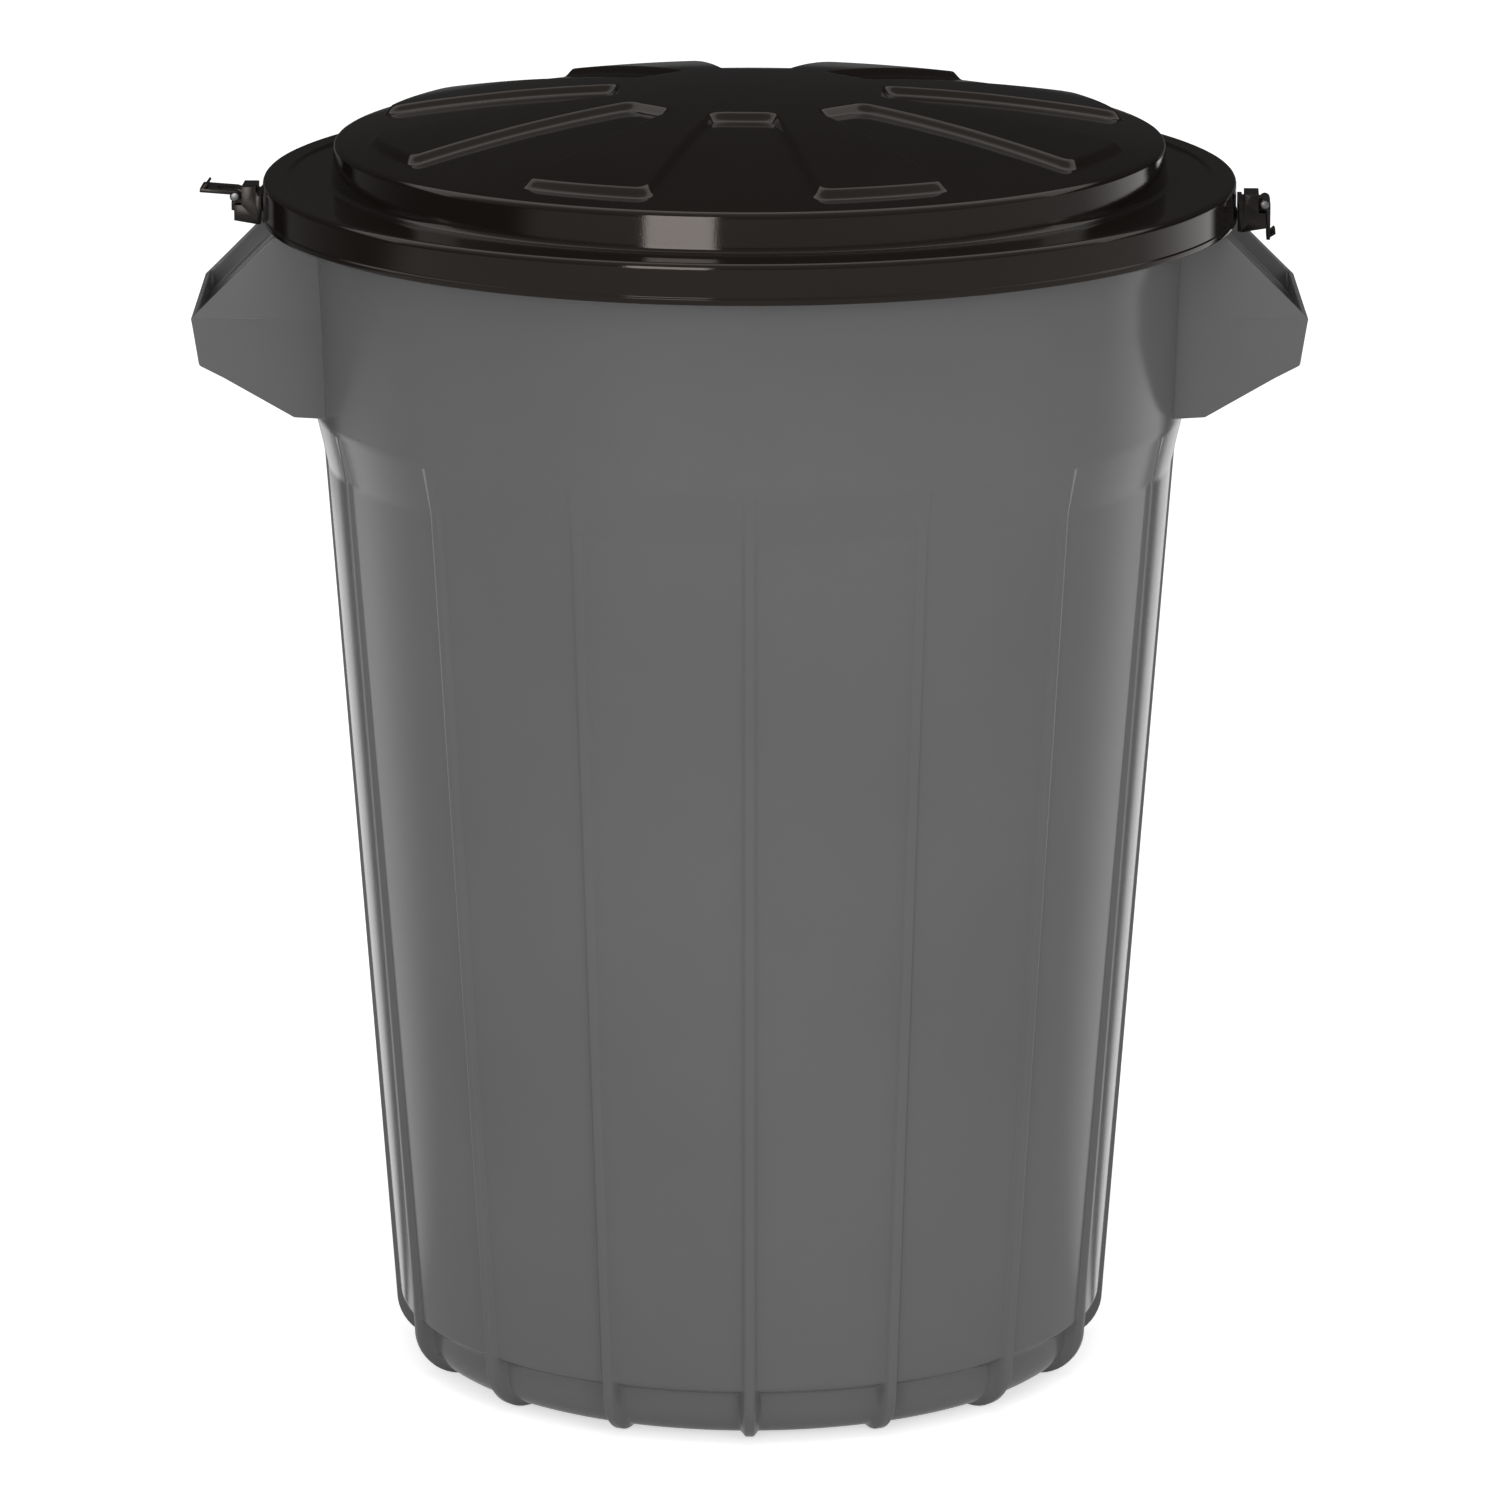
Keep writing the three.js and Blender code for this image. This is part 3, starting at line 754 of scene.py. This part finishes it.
def plastic(name, dark, light, roughness, grain, grain_size, wave=0.0, tint=WHITE):
    """Moulded plastic: slow colour drift, patchy gloss, fine grain and a slow waviness."""
    material = bpy.data.materials.new(name)
    material.use_nodes = True
    n = Nodes(material.node_tree)
    output = n.add("ShaderNodeOutputMaterial")
    shader = n.add("ShaderNodeBsdfPrincipled")
    shader.inputs["Specular Tint"].default_value = (*tint, 1)
    n.link(shader.outputs["BSDF"], output.inputs["Surface"])
    place = n.add("ShaderNodeTexCoord")

    drift = n.add("ShaderNodeTexNoise", Scale=DRIFT_SCALE, Detail=4.0, Roughness=0.55)
    n.link(place.outputs["Object"], drift.inputs["Vector"])
    colour = n.add("ShaderNodeValToRGB")
    for element, position, shown in zip(colour.color_ramp.elements, DRIFT_BAND, (dark, light)):
        element.position = position
        element.color = (*shown, 1)
    n.link(drift.outputs["Fac"], colour.inputs["Fac"])
    n.link(colour.outputs["Color"], shader.inputs["Base Color"])

    patch = n.add("ShaderNodeTexNoise", Scale=PATCH_SCALE, Detail=5.0, Roughness=0.6)
    n.link(place.outputs["Object"], patch.inputs["Vector"])
    gloss = n.add("ShaderNodeMapRange")
    gloss.inputs["To Min"].default_value, gloss.inputs["To Max"].default_value = roughness
    n.link(patch.outputs["Fac"], gloss.inputs["Value"])
    n.link(gloss.outputs["Result"], shader.inputs["Roughness"])

    fine = n.add("ShaderNodeTexNoise", Scale=grain_size, Detail=2.0, Roughness=0.5)
    n.link(place.outputs["Object"], fine.inputs["Vector"])
    bump = n.add("ShaderNodeBump", Strength=grain, Distance=GRAIN_HEIGHT)
    n.link(fine.outputs["Fac"], bump.inputs["Height"])
    slow = n.add("ShaderNodeTexNoise", Scale=WAVE_SCALE, Detail=1.0, Roughness=0.4)
    n.link(place.outputs["Object"], slow.inputs["Vector"])
    ripple = n.add("ShaderNodeBump", Strength=wave, Distance=WAVE_HEIGHT)
    n.link(slow.outputs["Fac"], ripple.inputs["Height"])
    n.link(bump.outputs["Normal"], ripple.inputs["Normal"])
    n.link(ripple.outputs["Normal"], shader.inputs["Normal"])
    return material


def grey_plastic():
    return plastic("grey_plastic", (0.118, 0.118, 0.118), (0.126, 0.126, 0.126),
                   roughness=(0.15, 0.2), grain=0.1, grain_size=900.0, wave=0.04)


def black_plastic():
    return plastic("black_plastic", (0.0075, 0.0055, 0.0047), (0.0095, 0.0072, 0.0062),
                   roughness=(0.06, 0.09), grain=0.05, grain_size=1200.0, wave=0.05, tint=WARM)


def clip_plastic():
    return plastic("clip_plastic", (0.0075, 0.0062, 0.0056), (0.011, 0.0092, 0.0084),
                   roughness=(0.2, 0.3), grain=0.2, grain_size=1500.0, tint=WARM)


def drawn_steel():
    """Steel wire with a finely mottled gloss."""
    material = bpy.data.materials.new("drawn_steel")
    material.use_nodes = True
    n = Nodes(material.node_tree)
    output = n.add("ShaderNodeOutputMaterial")
    shader = n.add("ShaderNodeBsdfPrincipled", Metallic=1.0, Base_Color=(*STEEL, 1))
    n.link(shader.outputs["BSDF"], output.inputs["Surface"])
    place = n.add("ShaderNodeTexCoord")
    mottle = n.add("ShaderNodeTexNoise", Scale=STEEL_SCALE, Detail=2.0)
    n.link(place.outputs["Object"], mottle.inputs["Vector"])
    gloss = n.add("ShaderNodeMapRange")
    gloss.inputs["To Min"].default_value, gloss.inputs["To Max"].default_value = STEEL_ROUGHNESS
    n.link(mottle.outputs["Fac"], gloss.inputs["Value"])
    n.link(gloss.outputs["Result"], shader.inputs["Roughness"])
    return material


# ---------------------------------------------------------------- studio

# From here on, places and sizes are in metres.
CAMERA_DISTANCE = 4.888
CAMERA_HEIGHT = 1.5793
CAMERA_PITCH = 13.986
CAMERA_SIDE = -0.0009
CAMERA_SIGHT = 200.0  # how far it sees
LENS = 207.07  # these two in millimetres
SENSOR = 36.0
FLOOR_HALF = 40.0
PAPER = 0.9  # diffuse colour of the floor
PAPER_LIFT = 0.6  # emission that the camera alone sees on it
SOFT_LIGHT = 0.56  # world strength for diffuse light

# Brightness of the floor in reflections, by the angle from straight behind, on both sides: white
# behind the bin, dark in a wedge beside that, bright again past it, and grey in front.
MIRRORED_FLOOR = (
    (0, 1.0), (27, 1.0), (29, 0.02), (39, 0.02),
    (43, 1.0), (56, 0.9), (78, 0.4), (180, 0.4),
)
WEDGE_APEX = 0.2  # the angle counts from points this far left and right of the middle
SHEET_REACH = (2.6, 3.3)  # it fades over these distances behind the bin, later on the right
SHEET_LEAN = 0.8  # how much later, for each metre to the right
SHEET_END = 0.1

# Brightness of the sky in reflections, by the angle from the horizon behind, over the top: dark low
# behind, bright up to the top, and grey in front.
MIRRORED_SKY = ((0, 0.03), (42, 0.04), (50, 1.0), (88, 1.0), (98, 0.4), (180, 0.15))

# Each lamp's name, place, aim, size, power in watts, and whether reflections show it.
LAMPS = (
    ("strip", (-1.05, -3.2, 1.2), (0, 0, 0.9), (1.1, 1.4), 23, True),
    ("front_fill", (2.2, -3.6, 1.6), (0, 0, 0.4), (1.6, 2.0), 31, False),
    ("top", (0.0, -0.6, 3.2), (0, 0, 0.6), (2.4, 1.6), 26, False),
)


def make_camera():
    data = bpy.data.cameras.new("camera")
    data.lens = LENS
    data.sensor_width = SENSOR
    data.sensor_fit = "HORIZONTAL"
    data.clip_end = CAMERA_SIGHT
    camera = bpy.data.objects.new("camera", data)
    camera.location = (CAMERA_SIDE, -CAMERA_DISTANCE, CAMERA_HEIGHT)
    camera.rotation_euler = (math.radians(90 - CAMERA_PITCH), 0, 0)
    bpy.context.scene.collection.objects.link(camera)
    bpy.context.scene.camera = camera


def make_lamp(name, place, aim, size, power, mirrored):
    data = bpy.data.lights.new(name, "AREA")
    data.shape = "RECTANGLE"
    data.size, data.size_y = size
    data.energy = power
    lamp = bpy.data.objects.new(name, data)
    lamp.location = place
    lamp.rotation_euler = (Vector(aim) - Vector(place)).to_track_quat("-Z", "Y").to_euler()
    lamp.visible_glossy = mirrored
    bpy.context.scene.collection.objects.link(lamp)


def background(n, strength):
    return n.add("ShaderNodeBackground", Strength=strength, Color=(*WHITE, 1))


def grey_ramp(n, stops):
    """A colour ramp through (degrees, grey) stops, over half a turn."""
    ramp = n.add("ShaderNodeValToRGB")
    elements = ramp.color_ramp.elements
    while len(elements) < len(stops):
        elements.new(0.5)
    for element, (degrees, grey) in zip(elements, stops):
        element.position = degrees / 180
        element.color = (grey, grey, grey, 1)
    return ramp


def math_node(n, operation, a, b=None):
    """The result of a maths node; a and b are numbers or sockets."""
    node = n.add("ShaderNodeMath", operation=operation)
    for socket, value in zip(node.inputs, (a, b)):
        if isinstance(value, float):
            socket.default_value = value
        elif value is not None:
            n.link(value, socket)
    return node.outputs[0]


def mix_shaders(n, share, first, second):
    """A mix that shows the second shader by its share."""
    mix = n.add("ShaderNodeMixShader")
    n.link(share, mix.inputs["Fac"])
    n.link(first.outputs[0], mix.inputs[1])
    n.link(second.outputs[0], mix.inputs[2])
    return mix


def either(n, path, first, second):
    return math_node(n, "MAXIMUM", path.outputs[first], path.outputs[second])


def floor_paper():
    """White paper that shows white to the camera and keeps the shadow; what reflections and refractions
    find is set by MIRRORED_FLOOR instead."""
    material = bpy.data.materials.new("floor_paper")
    material.use_nodes = True
    n = Nodes(material.node_tree)
    output = n.add("ShaderNodeOutputMaterial")
    path = n.add("ShaderNodeLightPath")
    paper = n.add("ShaderNodeBsdfDiffuse", Color=(PAPER, PAPER, PAPER, 1))
    lift = n.add("ShaderNodeEmission")
    n.link(math_node(n, "MULTIPLY", path.outputs["Is Camera Ray"], PAPER_LIFT), lift.inputs["Strength"])
    lit = n.add("ShaderNodeAddShader")
    n.link(paper.outputs["BSDF"], lit.inputs[0])
    n.link(lift.outputs["Emission"], lit.inputs[1])

    place = n.add("ShaderNodeNewGeometry")
    split = n.add("ShaderNodeSeparateXYZ")
    n.link(place.outputs["Position"], split.inputs["Vector"])
    beside = math_node(n, "ABSOLUTE", split.outputs["X"])
    beside = math_node(n, "SUBTRACT", beside, WEDGE_APEX)
    beside = math_node(n, "MAXIMUM", beside, 0.0)
    angle = math_node(n, "ARCTAN2", beside, split.outputs["Y"])
    ramp = grey_ramp(n, MIRRORED_FLOOR)
    n.link(math_node(n, "DIVIDE", angle, math.pi), ramp.inputs["Fac"])
    lean = math_node(n, "MULTIPLY", split.outputs["X"], SHEET_LEAN)
    behind = math_node(n, "SUBTRACT", split.outputs["Y"], lean)
    fall = n.add("ShaderNodeMapRange")
    fall.inputs["From Min"].default_value, fall.inputs["From Max"].default_value = SHEET_REACH
    fall.inputs["To Min"].default_value = 1.0
    fall.inputs["To Max"].default_value = SHEET_END
    n.link(behind, fall.inputs["Value"])
    mirrored = n.add("ShaderNodeEmission")
    n.link(ramp.outputs["Color"], mirrored.inputs["Color"])
    n.link(fall.outputs["Result"], mirrored.inputs["Strength"])
    seen_by = either(n, path, "Is Glossy Ray", "Is Transmission Ray")
    mix = mix_shaders(n, seen_by, lit, mirrored)
    n.link(mix.outputs["Shader"], output.inputs["Surface"])
    return material


def make_world():
    """Soft light all round, and white to the camera; reflections find what MIRRORED_SKY says."""
    world = bpy.data.worlds.new("world")
    bpy.context.scene.world = world
    world.use_nodes = True
    n = Nodes(world.node_tree)
    output = n.add("ShaderNodeOutputWorld")
    path = n.add("ShaderNodeLightPath")
    place = n.add("ShaderNodeTexCoord")
    split = n.add("ShaderNodeSeparateXYZ")
    n.link(place.outputs["Generated"], split.inputs["Vector"])
    above = math_node(n, "MAXIMUM", split.outputs["Z"], 0.0)
    angle = math_node(n, "ARCTAN2", above, split.outputs["Y"])
    ramp = grey_ramp(n, MIRRORED_SKY)
    n.link(math_node(n, "DIVIDE", angle, math.pi), ramp.inputs["Fac"])
    mirrored = background(n, 1.0)
    n.link(ramp.outputs["Color"], mirrored.inputs["Color"])
    inner = mix_shaders(n, path.outputs["Is Glossy Ray"], background(n, SOFT_LIGHT), mirrored)
    seen_by = either(n, path, "Is Camera Ray", "Is Transmission Ray")
    outer = mix_shaders(n, seen_by, inner, background(n, 1.0))
    n.link(outer.outputs["Shader"], output.inputs["Surface"])


def make_studio():
    half = FLOOR_HALF / MM
    corners = [(-half, -half, 0), (half, -half, 0), (half, half, 0), (-half, half, 0)]
    floor = new_object("floor", corners, [(0, 1, 2, 3)])
    floor.data.materials.append(floor_paper())
    make_world()
    for lamp in LAMPS:
        make_lamp(*lamp)


# ---------------------------------------------------------------- the whole scene

bpy.context.scene.view_settings.view_transform = "Standard"
make_camera()
make_studio()
barrel_material = grey_plastic()
lid_material = black_plastic()
clip_material = clip_plastic()
pin_material = drawn_steel()
make_barrel(barrel_material)
make_lid(lid_material)
for side in ("left", "right"):
    make_clip(side, clip_material, pin_material)

bpy.context.view_layer.update()
